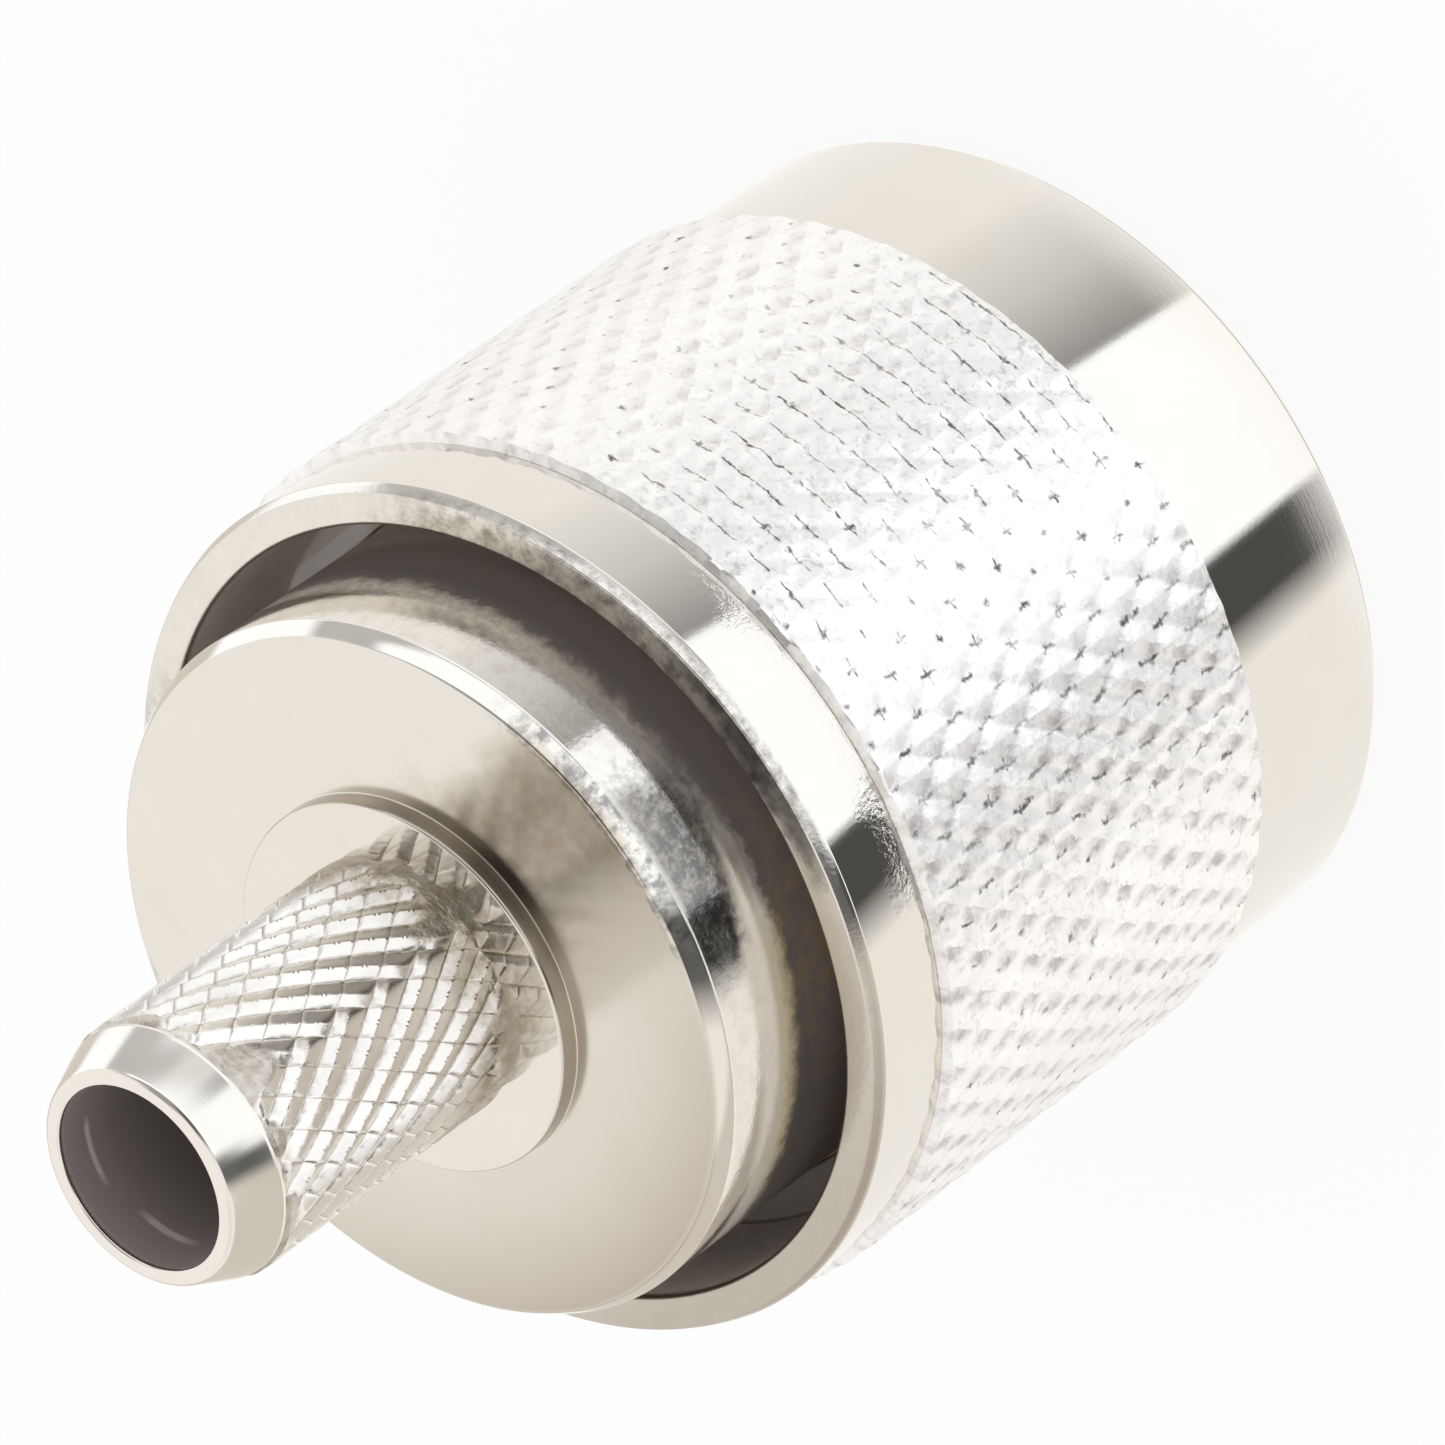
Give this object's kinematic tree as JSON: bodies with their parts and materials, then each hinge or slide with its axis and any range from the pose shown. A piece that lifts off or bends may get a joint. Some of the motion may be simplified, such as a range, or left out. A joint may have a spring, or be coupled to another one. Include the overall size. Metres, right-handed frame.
{
  "type": "n connector",
  "caption": "Nickel-plated coaxial crimp plug with a freely turning knurled coupling nut, a round flat-backed body and a hollow diamond-knurled cable stem.",
  "frame": {"origin": "centre of the coupling nut's flat front face, the face the plug stands on", "axes": "+Z along the connector axis from the mating face towards the cable stem; X and Y across it"},
  "size_m": [0.0206, 0.0206, 0.0297],
  "materials": {
    "nickel_plate": "bright nickel plate over brass",
    "spring_bronze": "plain bronze",
    "white_bronze": "bright plate over brass",
    "silicone": "matt moulded silicone",
    "white_insulator": "turned fluoropolymer",
    "gold_plate": "gold plate over brass"
  },
  "bodies": {
    "plug_body": {"connector_body": "nickel_plate", "retaining_ring": "spring_bronze", "outer_contact": "white_bronze", "sealing_gasket": "silicone", "insulator": "white_insulator", "centre_contact": "gold_plate"},
    "nut": {"coupling_nut": "nickel_plate"}
  },
  "joints": [
    {"name": "nut_spin", "type": "hinge", "parent": "plug_body", "child": "nut", "pos_m": [0, 0, 0], "axis": [0, 0, 1], "continuous": true}
  ]
}
